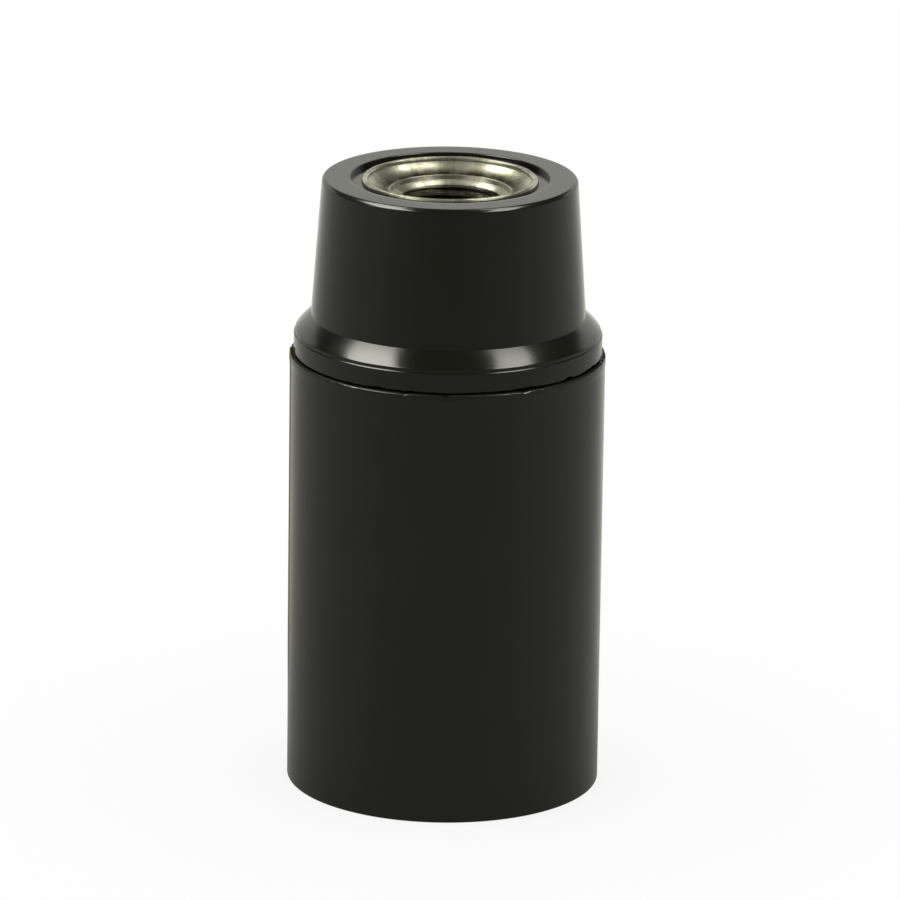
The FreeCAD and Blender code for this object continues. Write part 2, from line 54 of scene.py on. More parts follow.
WEAKEST_WAVE = 0.3
SHARP_ANGLE = math.radians(32.0)
WHITE = "#ffffff"
# Directions of the middles of the spigot's two keyways.
KEYWAYS = (0.5 * math.pi, 1.5 * math.pi)
# Chips in the cap's seam edge: middle and reach in degrees, and depth in millimetres.
SEAM_CHIPS = (
    (60.0, 5.0, 0.1), (118.0, 3.0, 0.14), (151.0, 6.0, 0.08), (243.0, 4.0, 0.09),
    (250.5, 2.2, 0.07), (299.5, 5.0, 0.1), (321.0, 2.5, 0.07), (337.0, 6.0, 0.12),
)
LOG = logging.getLogger("lamp_holder")

Grid = np.ndarray
Station = tuple[float, float]
Span = tuple[float, float]
Place = tuple[float, float, float]
Thing = bpy.types.Object
Finish = bpy.types.Material
Tree = bpy.types.NodeTree
Socket = bpy.types.NodeSocket


# ---- surfaces --------------------------------------------------------------------------------


def path(*stations: tuple[float, float, int]) -> Grid:
    """Points of joined straight stretches of profile, without the last station.

    Args:
        *stations: radius and height of each corner in millimetres, and the number of points from
            it up to the next one.

    Returns:
        An array of (radius, height) rows.
    """
    rows = []
    for (*start, steps), (*end, _) in zip(stations, stations[1:]):
        share = np.linspace(0.0, 1.0, steps, endpoint=False)[:, None]
        rows.append(np.asarray(start) + share * (np.asarray(end) - np.asarray(start)))
    return np.concatenate(rows)


def arc(centre: Station, radius: float, start: float, end: float, steps: int) -> Grid:
    """Points of a round stretch of profile: centre + radius (cos a, sin a), without its end.

    Args:
        centre: radius and height of the arc's centre, in millimetres.
        radius: the arc's own radius.
        start: direction of its first point in degrees, from the radius axis towards up.
        end: direction of the point that the next stretch starts with.
        steps: number of points.

    Returns:
        An array of (radius, height) rows.
    """
    angle = np.radians(np.linspace(start, end, steps, endpoint=False))
    around = np.stack([np.cos(angle), np.sin(angle)], axis=1)
    return np.asarray(centre) + radius * around


def bulged(start: Station, end: Station, sweep: float, steps: int) -> Grid:
    """Points of an arc between two points, which turns by a given angle, without its end.

    It bulges to the right of the way from start to end, or to the left if the sweep is negative.
    Its radius is half the chord over the sine of half the sweep.

    Args:
        start: radius and height of its first point, in millimetres.
        end: radius and height of the point that the next stretch starts with.
        sweep: how far it turns, in degrees.
        steps: number of points.

    Returns:
        An array of (radius, height) rows.
    """
    chord = np.subtract(end, start)
    half = math.radians(sweep) / 2.0
    bend = float(np.hypot(*chord)) / 2.0 / math.sin(half)
    outward = math.degrees(math.atan2(-chord[0], chord[1]))
    away = math.radians(outward)
    middle = np.add(start, end) / 2.0
    centre = middle - bend * math.cos(half) * np.array([math.cos(away), math.sin(away)])
    first = outward - sweep / 2.0
    return arc((float(centre[0]), float(centre[1])), bend, first, first + sweep, steps)


def ragged(angle: Grid, seed: int, orders: tuple[int, int]) -> Grid:
    """Uneven line round a ring: a sum of cosines of whole orders, scaled to stay within 1.

    Args:
        angle: angles round the ring, in radians.
        seed: start of the random draws for strengths and phases.
        orders: lowest and highest number of waves in a turn.

    Returns:
        A value from -1 to 1 for each angle.
    """
    draw = np.random.default_rng(seed)
    waves = np.arange(orders[0], orders[1] + 1)
    strength = draw.uniform(WEAKEST_WAVE, 1.0, waves.size) / np.sqrt(waves)
    phase = draw.uniform(0.0, TURN, waves.size)
    total = np.cos(angle[..., None] * waves + phase) @ strength
    return total / np.abs(total).max()


def smooth_step(value: Grid, low: float, high: float) -> Grid:
    """Smooth rise 3t^2 - 2t^3 from 0 at low to 1 at high."""
    share = np.clip((value - low) / (high - low), 0.0, 1.0)
    return share * share * (3.0 - 2.0 * share)


def seam_wear(angle: Grid) -> Grid:
    """Depth of the places where the seam's edge is chipped: a sum of bell curves round the ring.

    Args:
        angle: angles round the axis, in radians.

    Returns:
        The depth in millimetres at each angle.
    """
    turn = np.degrees(angle)
    depth = np.zeros_like(turn)
    for middle, half, deep in SEAM_CHIPS:
        depth = depth + deep * np.exp(-(((turn - middle) / half) ** 4))
    return depth


class ThreadForm(Enum):
    """Section of a screw thread."""

    ROUND = "round"
    SHARP = "sharp"


@dataclass(frozen=True)
class Thread:
    """Right-handed screw thread cut into, or standing on, a plain cylinder.

    Its depth at a point is depth * form(height / pitch - angle / turn), fading out at both ends.
    A sharp one is a triangle that loses the share flat of its depth at the crest and the root.
    """

    pitch: float
    depth: float
    low: float
    high: float
    run_out: float
    form: ThreadForm
    flat: float = 0.125

    def rise(self, angle: Grid, height: Grid) -> Grid:
        """Height of the thread above its plain cylinder.

        Args:
            angle: angles round the axis, in radians.
            height: heights along the axis, in millimetres.

        Returns:
            The rise in millimetres at each point.
        """
        phase = (height / self.pitch - angle / TURN) % 1.0
        if self.form is ThreadForm.ROUND:
            wave = 0.5 - 0.5 * np.cos(TURN * phase)
        else:
            wave = (1.0 + 2.0 * self.flat) * (1.0 - np.abs(2.0 * phase - 1.0)) - self.flat
            wave = np.clip(wave, 0.0, 1.0)
        fade = smooth_step(height, self.low, self.low + self.run_out)
        fade = fade * (1.0 - smooth_step(height, self.high - self.run_out, self.high))
        return self.depth * wave * fade


def turned(angle: Grid, radius: Grid, height: Grid) -> Grid:
    """Surface of revolution: (r cos a, r sin a, z) for each angle a and profile point (r, z).

    Args:
        angle: angles round the axis, in radians, shape (columns, 1).
        radius: radii that broadcast to (columns, rows).
        height: heights that broadcast to (columns, rows).

    Returns:
        Points of shape (columns, rows, 3), in millimetres.
    """
    angle, radius, height = np.broadcast_arrays(angle, radius, height)
    return np.stack([radius * np.cos(angle), radius * np.sin(angle), height], axis=-1)


class Patchwork:
    """Collects grid surfaces and joins them into one closed mesh where their edges meet."""

    def __init__(self) -> None:
        """Start with no surfaces."""
        self._points: list[Grid] = []
        self._quads: list[Grid] = []
        self._count = 0

    def add(self, points: Grid, closed: tuple[bool, bool], flip: bool = False) -> None:
        """Add one grid surface, whose faces point along (first direction) x (second direction).

        Args:
            points: array of shape (columns, rows, 3), in millimetres.
            closed: whether the last column meets the first, and the last row the first.
            flip: turn the faces over.
        """
        columns, rows = points.shape[:2]
        index = self._count + np.arange(columns * rows).reshape(columns, rows)
        if closed[0]:
            index = np.concatenate([index, index[:1]], axis=0)
        if closed[1]:
            index = np.concatenate([index, index[:, :1]], axis=1)
        corners = [index[:-1, :-1], index[1:, :-1], index[1:, 1:], index[:-1, 1:]]
        quads = np.stack(corners, axis=-1).reshape(-1, 4)
        self._quads.append(quads[:, ::-1] if flip else quads)
        self._points.append(points.reshape(-1, 3))
        self._count += columns * rows

    def piece(self, name: str) -> Thing:
        """Join the surfaces into a mesh object at the origin.

        Args:
            name: name of the object.

        Returns:
            The new object, linked to the scene, with its sharp edges marked.
        """
        points = np.concatenate(self._points)
        quads = np.concatenate(self._quads)
        keys = np.round(points / MERGE_MM).astype(np.int64)
        _, first, merged = np.unique(keys, axis=0, return_index=True, return_inverse=True)
        quads = merged.reshape(-1)[quads]
        keep = quads != np.roll(quads, 1, axis=1)
        whole = keep.sum(axis=1) > 2
        quads, keep = quads[whole], keep[whole]
        sizes = keep.sum(axis=1)
        loops = quads[keep]
        mesh = bpy.data.meshes.new(name)
        mesh.vertices.add(first.size)
        mesh.vertices.foreach_set("co", (points[first] * MM).astype(np.float32).ravel())
        mesh.loops.add(loops.size)
        mesh.loops.foreach_set("vertex_index", loops.astype(np.int32))
        mesh.polygons.add(sizes.size)
        starts = np.concatenate([[0], np.cumsum(sizes)[:-1]])
        mesh.polygons.foreach_set("loop_start", starts.astype(np.int32))
        mesh.update(calc_edges=True)
        mesh.validate()
        mesh.shade_smooth()
        mesh.set_sharp_from_angle(angle=SHARP_ANGLE)
        made = bpy.data.objects.new(name, mesh)
        bpy.context.scene.collection.objects.link(made)
        return made


# ---- finishes --------------------------------------------------------------------------------


def linear(colour: str) -> tuple[float, float, float, float]:
    """Turn an sRGB hex colour to linear light.

    Args:
        colour: six hex digits after a hash sign.

    Returns:
        Red, green, blue and an alpha of 1.
    """
    parts = [int(colour[place:place + 2], 16) / 255.0 for place in (1, 3, 5)]
    red, green, blue = [
        part / 12.92 if part <= 0.04045 else ((part + 0.055) / 1.055) ** 2.4 for part in parts
    ]
    return red, green, blue, 1.0


def node(tree: Tree, kind: str, inputs: dict[Any, Any] | None = None, out: str = "",
         **settings: Any) -> Socket | None:
    """Add a shader node, give it its settings, set or link its inputs, and hand on one output.

    Args:
        tree: node tree that takes the node.
        kind: Blender's name of the node type, without the ShaderNode in front.
        inputs: input name or number, to a value or to the output socket to link.
        out: name of the output to hand on, or nothing for the first one in use.
        **settings: properties of the node.

    Returns:
        The output socket, or None if the node has no output.
    """
    made = tree.nodes.new(f"ShaderNode{kind}")
    for name, setting in settings.items():
        setattr(made, name, setting)
    for place, given in (inputs or {}).items():
        if isinstance(given, Socket):
            tree.links.new(given, made.inputs[place])
        else:
            made.inputs[place].default_value = given
    ready = [socket for socket in made.outputs if socket.enabled and out in ("", socket.name)]
    return ready[0] if ready else None


def blank_material(name: str) -> tuple[Finish, Tree]:
    """Make a material with an empty node tree.

    Args:
        name: name of the material.

    Returns:
        The material and its node tree.
    """
    material = bpy.data.materials.new(name)
    material.use_nodes = True
    material.node_tree.nodes.clear()
    return material, material.node_tree


def turned_place(tree: Tree, place: Socket) -> tuple[Socket, Socket, Socket]:
    """Split a place into what turning works with.

    Args:
        tree: node tree of the material.
        place: socket with the place on the object.

    Returns:
        The place seen along the axis, its distance from the axis, and its height.
    """
    flat = node(tree, "VectorMath", {0: place, 1: (1.0, 1.0, 0.0)}, operation="MULTIPLY")
    radius = node(tree, "VectorMath", {0: flat}, operation="LENGTH")
    return flat, radius, node(tree, "SeparateXYZ", {"Vector": place}, "Z")


@dataclass(frozen=True)
class MouldedPhenolic:
    """Black phenolic resin, compression moulded with wood flour.

    The polished mould leaves a dense satin gloss with a faint olive cast and slow clouds of
    roughness. Where the flash was broken off at the seam it shows its dull, paler inside, and
    the thinnest flash is amber, because the resin itself is brown and clear.
    """

    name: str
    body: str = "#12120b"
    cloud: str = "#16160e"
    broken: str = "#181710"
    amber: str = "#7c622c"
    gloss: float = 0.13
    gloss_cloud: float = 0.21
    cloud_noise: Span = (0.3, 0.7)
    dull: float = 0.6
    shine: float = 0.5
    dull_shine: float = 0.12
    ior: float = 1.58
    cloud_mm: float = 6.0
    cloud_detail: float = 4.0
    grain_mm: float = 0.5
    grain_detail: float = 2.0
    grain_strength: float = 0.12
    grain_depth_mm: float = 0.02
    seam_mm: Span = (39.3, 39.345)
    seam_end_mm: Span = (40.145, 40.045)
    seam_radius_mm: Span = (13.72, 13.76)
    seam_grain: Span = (0.28, 0.4)
    flash_turn: float = 184.0
    flash_reach_mm: Span = (13.965, 13.985)
    flash_height_mm: Span = (6.0, 15.0)

    def material(self) -> Finish:
        """Build the node material from the finish's own values."""
        material, tree = blank_material(self.name)
        place = node(tree, "TexCoord", out="Object")
        cloud, grain = (
            node(tree, "TexNoise", {"Vector": place, "Scale": 1.0 / (size * MM),
                                    "Detail": detail})
            for size, detail in ((self.cloud_mm, self.cloud_detail),
                                 (self.grain_mm, self.grain_detail)))
        flat, radius, height = turned_place(tree, place)
        turn = math.radians(self.flash_turn)
        reach = node(tree, "VectorMath", {0: flat, 1: (math.cos(turn), math.sin(turn), 0.0)},
                     operation="DOT_PRODUCT")
        seam, below, outside, patchy, full, above = (
            node(tree, "MapRange", {
                "Value": value, "From Min": low * unit, "From Max": high * unit},
                interpolation_type="SMOOTHSTEP")
            for value, (low, high), unit in (
                (height, self.seam_mm, MM), (height, self.seam_end_mm, MM),
                (radius, self.seam_radius_mm, MM), (grain, self.seam_grain, 1.0),
                (reach, self.flash_reach_mm, MM), (height, self.flash_height_mm, MM)))
        for factor in (below, outside, patchy):
            seam = node(tree, "Math", {0: seam, 1: factor}, operation="MULTIPLY")
        flash = node(tree, "Math", {0: full, 1: above}, operation="MULTIPLY")
        colour = linear(self.body)
        for share, shade in ((cloud, self.cloud), (seam, self.broken), (flash, self.amber)):
            colour = node(tree, "Mix", {"Factor": share, "A": colour, "B": linear(shade)},
                          data_type="RGBA")
        gloss = node(tree, "MapRange", {
            "Value": cloud, "From Min": self.cloud_noise[0], "From Max": self.cloud_noise[1],
            "To Min": self.gloss, "To Max": self.gloss_cloud})
        dull = node(tree, "Math", {0: seam, 1: flash}, operation="MAXIMUM")
        roughness, shine = (
            node(tree, "Mix", {"Factor": dull, "A": whole, "B": worn})
            for whole, worn in ((gloss, self.dull), (self.shine, self.dull_shine)))
        bump = node(tree, "Bump", {
            "Height": grain, "Strength": self.grain_strength, "Distance": self.grain_depth_mm * MM})
        shader = node(tree, "BsdfPrincipled", {
            "Base Color": colour, "Roughness": roughness, "IOR": self.ior,
            "Specular IOR Level": shine, "Normal": bump})
        node(tree, "OutputMaterial", {"Surface": shader})
        return material


@dataclass(frozen=True)
class WorkedMetal:
    """Bare or plated metal with the marks of the tool that shaped it.

    Rings from turning or rolling break up its gloss, and handling and oil leave darker, duller
    smudges, drawn out along the way that the tool moved.
    """

    name: str
    metal: str
    stain: str
    roughness: float
    stain_roughness: float = 0.5
    stain_share: float = 0.5
    stain_noise: Span = (0.62, 0.9)
    ring_mm: float = 0.12
    ring_detail: float = 1.0
    ring_strength: float = 0.06
    ring_depth_mm: float = 0.02
    drawn: Place = (0.3, 1.0, 1.0)
    smudge_mm: float = 3.2
    smudge_detail: float = 3.0
    speck_mm: float = 0.35
    speck_share: float = 0.35

    def material(self) -> Finish:
        """Build the node material from the finish's own values."""
        material, tree = blank_material(self.name)
        place = node(tree, "TexCoord", out="Object")
        smear, rings = self._worked(tree, place)
        smudge, speck, ring = (
            node(tree, "TexNoise", {"Vector": where, "Scale": 1.0 / (size * MM),
                                    "Detail": detail})
            for where, size, detail in (
                (smear, self.smudge_mm, self.smudge_detail),
                (place, self.speck_mm, self.smudge_detail),
                (rings, self.ring_mm, self.ring_detail)))
        speck = node(tree, "Math", {0: speck, 1: self.speck_share}, operation="MULTIPLY")
        mixed = node(tree, "Math", {0: smudge, 1: speck}, operation="ADD")
        stain = node(tree, "MapRange", {
            "Value": mixed, "From Min": self.stain_noise[0], "From Max": self.stain_noise[1],
            "To Max": self.stain_share})
        colour = node(tree, "Mix", {
            "Factor": stain, "A": linear(self.metal), "B": linear(self.stain)},
            data_type="RGBA")
        # Finishes add darker patches and painted shade here.
        colour = self._darkened_and_shaded(tree, colour, place, smudge)
        roughness = node(tree, "Mix", {
            "Factor": stain, "A": self.roughness, "B": self.stain_roughness})
        bump = node(tree, "Bump", {
            "Height": ring, "Strength": self.ring_strength, "Distance": self.ring_depth_mm * MM})
        shader = node(tree, "BsdfPrincipled", {
            "Base Color": colour, "Metallic": 1.0, "Roughness": roughness, "Normal": bump})
        node(tree, "OutputMaterial", {"Surface": shader})
        return material

    def _worked(self, tree: Tree, place: Socket) -> tuple[Socket, Socket]:
        """Places that draw the marks out along the way that the rolls or the press moved.

        Args:
            tree: node tree of the material.
            place: socket with the place on the object.

        Returns:
            The places for the smudges and the places for the tool's lines.
        """
        smear = node(tree, "VectorMath", {0: place, 1: self.drawn}, operation="MULTIPLY")
        lines = node(tree, "VectorMath", {0: smear, 1: self.drawn}, operation="MULTIPLY")
        return smear, lines

    def _darkened_and_shaded(self, tree: Tree, colour: Socket, place: Socket, smudge: Socket) -> Socket:
        """Colour of the metal with darker patches and painted shade, none unless a finish adds
        them.

        Args:
            tree: node tree of the material.
            colour: socket with the colour of the clean metal.
            place: socket with the place on the object.
            smudge: socket with the noise of the smudges.

        Returns:
            The socket with the colour.
        """
        return colour


@dataclass(frozen=True)
class SwagedBushPlating(WorkedMetal):
    """Zinc plating of the entry bush, swaged open after it was plated.

    The corner where the bell meets its ledge is darker brown in patches, and the thread's bore is
    painted dark as painted shade deep in the hole.
    """

    smudges_round: float = 3.0
    smudges_out: float = 0.35
    # Darker brown patches in the corner where the bell meets its ledge, set by the two corner spans
    # and the noise span.
    corner_dark: str = "#50482f"
    corner_dark_noise: Span = (0.72, 1.1)
    patch_mm: float = 1.3
    patch_detail: float = 5.0
    corner_outside_mm: Span = (6.9, 5.85)
    corner_inside_mm: Span = (5.56, 5.64)
    # Painted shade: dark colour laid on the bore inside the thread, growing downwards over the next
    # height span, for the shade deep in the hole.
    bore_shade: str = "#24221c"
    bore_mm: float = 4.75
    bore_shade_mm: Span = (53.55, 53.3)

    def _worked(self, tree: Tree, place: Socket) -> tuple[Socket, Socket]:
        """Places that draw the smudges out from the axis and the tool's lines round it.

        Args:
            tree: node tree of the material.
            place: socket with the place on the object.

        Returns:
            The places for the smudges and the places for the tool's lines.
        """
        flat, radius, height = turned_place(tree, place)
        way_round = node(tree, "VectorMath", {0: flat}, operation="NORMALIZE")
        spread, along = (
            node(tree, "VectorMath", {0: way, "Scale": scale}, operation="SCALE")
            for way, scale in ((way_round, self.smudges_round * self.smudge_mm * MM),
                               (flat, self.smudges_out)))
        smear = node(tree, "VectorMath", {0: spread, 1: along}, operation="ADD")
        rings = node(tree, "CombineXYZ", {"X": radius, "Z": height})
        return smear, rings

    def _darkened_and_shaded(self, tree: Tree, colour: Socket, place: Socket, smudge: Socket) -> Socket:
        """Add the darker brown corner patches and the painted shade in the bore to the plating's
        colour.

        Args:
            tree: node tree of the material.
            colour: socket with the colour of the clean metal.
            place: socket with the place on the object.
            smudge: socket with the noise of the smudges.

        Returns:
            The socket with the colour.
        """
        _, radius, height = turned_place(tree, place)
        patch = node(tree, "TexNoise", {
            "Vector": place, "Scale": 1.0 / (self.patch_mm * MM), "Detail": self.patch_detail})
        patch = node(tree, "Math", {0: patch, 1: smudge}, operation="ADD")
        outside, inside, uneven, deep = (
            node(tree, "MapRange", {
                "Value": value, "From Min": low * unit, "From Max": high * unit})
            for value, (low, high), unit in (
                (radius, self.corner_outside_mm, MM), (radius, self.corner_inside_mm, MM),
                (patch, self.corner_dark_noise, 1.0), (height, self.bore_shade_mm, MM)))
        # Painted shade: mask of the bore below its top, coloured dark for the shade deep in the
        # thread.
        bore = node(tree, "Math", {0: radius, 1: self.bore_mm * MM}, operation="LESS_THAN")
        corner, shaded_bore = (
            node(tree, "Math", {0: first, 1: second}, operation="MULTIPLY")
            for first, second in ((outside, inside), (bore, deep)))
        # Darker brown patches in the corner between the bell and its ledge.
        darkened_corner = node(tree, "Math", {0: corner, 1: uneven}, operation="MULTIPLY")
        # Colour the darker brown corner patches, then the painted shade in the bore.
        for share, shade in ((darkened_corner, self.corner_dark), (shaded_bore, self.bore_shade)):
            colour = node(tree, "Mix", {"Factor": share, "A": colour, "B": linear(shade)},
                          data_type="RGBA")
        return colour


@dataclass(frozen=True)
class FiredSteatite:
    """Unglazed steatite, dry pressed and fired.

    Off-white and dull, with a fine pressed grain and a few iron specks from the clay.
    """

    name: str
    body: str = "#d9d4c6"
    speck: str = "#8a7a62"
    roughness: float = 0.62
    ior: float = 1.58
    grain_mm: float = 0.25
    grain_detail: float = 2.0
    grain_strength: float = 0.3
    grain_depth_mm: float = 0.03
    speck_mm: float = 0.55
    speck_noise: Span = (0.72, 0.77)

    def material(self) -> Finish:
        """Build the node material from the finish's own values."""
        material, tree = blank_material(self.name)
        place = node(tree, "TexCoord", out="Object")
        grain, dots = (
            node(tree, "TexNoise", {
                "Vector": place, "Scale": 1.0 / (size * MM), "Detail": self.grain_detail})
            for size in (self.grain_mm, self.speck_mm))
        share = node(tree, "MapRange", {
            "Value": dots, "From Min": self.speck_noise[0], "From Max": self.speck_noise[1]})
        colour = node(tree, "Mix", {
            "Factor": share, "A": linear(self.body), "B": linear(self.speck)},
            data_type="RGBA")
        bump = node(tree, "Bump", {
            "Height": grain, "Strength": self.grain_strength, "Distance": self.grain_depth_mm * MM})
        shader = node(tree, "BsdfPrincipled", {
            "Base Color": colour, "Roughness": self.roughness, "IOR": self.ior, "Normal": bump})
        node(tree, "OutputMaterial", {"Surface": shader})
        return material


def coat(thing: Thing, material: Finish) -> None:
    """Give the whole of a piece one material.

    Args:
        thing: the piece.
        material: its finish.
    """
    if thing.material_slots:
        for place in thing.material_slots:
            place.material = material
    else:
        thing.data.materials.append(material)


# ---- pieces ----------------------------------------------------------------------------------


@dataclass
class Skirt:
    """Outer moulding: shell, socket tube with the Edison thread, and the joint's inner thread."""

    outside: float = 14.0
    rim_edge: float = 0.1
    mouth: float = 11.9
    mouth_floor: float = 8.98
    funnel: float = 8.4
    funnel_top: float = 10.58
    crest: float = 6.2
    thread_depth: float = 0.8
    thread_lead: float = 2.822
    thread_lead_in: float = 1.2
    thread_run_out: float = 0.7
    thread_top: float = 18.28
    well: float = 8.2
    seat: float = 24.48
    tube: float = 9.7
    web_top: float = 11.38
    bore: float = 11.68
    bore_edge: float = 0.3
    joint_pitch: float = 2.0
    joint_depth: float = 0.38
    joint_run_out: float = 0.5
    joint_low: float = 33.0
    height: float = 39.4
    top_edge: float = 0.14
    lip: float = 0.07
    lip_uneven: float = 0.4
    lip_low: float = 38.25
    lip_high: float = 38.95
    worn_down: float = 0.5
    worn_in: float = 0.9
    tooth: float = 0.02
    sag: float = 0.02
    chip: float = 0.2
    chip_floor: float = 0.22
    flash_height: float = 0.045
    flash_turn: float = 184.0
    flash_half: float = 4.4
    flash_low: float = 5.0
    flash_fade: float = 9.0
    stub: float = 0.5
    stub_turn: float = 181.5
    stub_half: float = 1.4
    columns: int = 320

    def build(self) -> Thing:
        """Turn the closed profile, with both threads, the worn lip and the parting-line flash.

        Returns:
            The skirt's mesh object.
        """
        angle = (np.arange(self.columns) / self.columns * TURN)[:, None]
        outer, face, inner = self._profiles()
        top = self.height
        height = outer[:, 1]
        near_top = smooth_step(height, top - self.worn_down, top)
        lip = smooth_step(height, self.lip_low, self.lip_high)
        uneven = ragged(angle, seed=11, orders=(2, 9)) * self.lip_uneven + (1.0 - self.lip_uneven)
        radius = outer[:, 0] + self.lip * lip * uneven
        radius = radius - self.tooth * near_top * (ragged(angle, seed=12, orders=(30, 90)) + 1.0)
        radius = radius + self._flash(angle, height)
        chips = np.clip(ragged(angle, seed=13, orders=(7, 80)) - self.chip_floor, 0.0, 1.0)
        sag = ragged(angle, seed=14, orders=(1, 4)) * self.sag - chips * self.chip
        turn = np.degrees(angle)
        sag = sag + self.stub * np.exp(-(((turn - self.stub_turn) / self.stub_half) ** 4))
        face_wear = smooth_step(face[:, 0], self.outside - self.worn_in, self.outside)
        joint = Thread(self.joint_pitch, self.joint_depth, self.joint_low, top - self.bore_edge,
                       self.joint_run_out, ThreadForm.ROUND)
        lamp = Thread(self.thread_lead, self.thread_depth, self.funnel_top - self.thread_lead_in,
                      self.thread_top, self.thread_run_out, ThreadForm.ROUND)
        in_joint = inner[:, 0] == self.bore
        in_lamp = (inner[:, 0] < self.funnel) & (inner[:, 1] < self.thread_top)
        inner_radius = inner[:, 0] + in_joint * joint.rise(angle, inner[:, 1])
        inner_radius = inner_radius + in_lamp * lamp.rise(angle, inner[:, 1])
        radii = (radius, face[:, 0], inner_radius)
        heights = (height + sag * near_top, face[:, 1] + sag * face_wear, inner[:, 1])
        rows = [np.concatenate([np.broadcast_to(part, (self.columns, part.shape[-1]))
                                for part in parts], axis=1) for parts in (radii, heights)]
        surfaces = Patchwork()
        surfaces.add(turned(angle, *rows), (True, True))
        return surfaces.piece("skirt_moulding")

    def _profiles(self) -> tuple[Grid, Grid, Grid]:
        """Profiles of the outside, of the top face, and of everything inside down to the rim."""
        out, top, edge = self.outside, self.height, self.rim_edge
        top_edge, bore_edge = self.top_edge, self.bore_edge
        outer = np.concatenate([
            arc((out - edge, edge), edge, -90.0, 0.0, 6),
            path((out, edge, 40), (out, self.lip_low, 14), (out, top - top_edge, 0)),
            arc((out - top_edge, top - top_edge), top_edge, 0.0, 90.0, 7),
        ])
        face = path((out - top_edge, top, 8), (self.bore + bore_edge, top, 0))
        inner = path(
            (self.bore + bore_edge, top, 3), (self.bore, top - bore_edge, 64),
            (self.bore, self.joint_low, 3), (self.bore, self.web_top, 2),
            (self.tube, self.web_top, 3), (self.tube, self.seat, 2), (self.well, self.seat, 3),
            (self.well, self.thread_top, 4), (self.crest, self.thread_top, 60),
            (self.crest, self.funnel_top, 8), (self.funnel, self.mouth_floor, 3),
            (self.mouth, self.mouth_floor, 3), (self.mouth, edge, 1),
            (self.mouth + edge, 0.0, 2), (out - edge, 0.0, 0))
        return outer, face, inner

    def _flash(self, angle: Grid, height: Grid) -> Grid:
        """Trimmed flash along the mould's parting line: a low flat band, fading at its lower end.

        Args:
            angle: angles round the axis, in radians.
            height: heights along the axis, in millimetres.

        Returns:
            How far the band stands out at each point.
        """
        across = (np.degrees(angle) - self.flash_turn) / self.flash_half
        fade = smooth_step(height, self.flash_low, self.flash_low + self.flash_fade)
        return self.flash_height * np.exp(-(across**4)) * fade

    def dress(self, piece: Thing, finish: Finish) -> None:
        """Finish the skirt, hide its construction solid and let it ride on its body."""
        coat(piece, finish)
        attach(piece, "skirt")
        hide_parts("skirt")


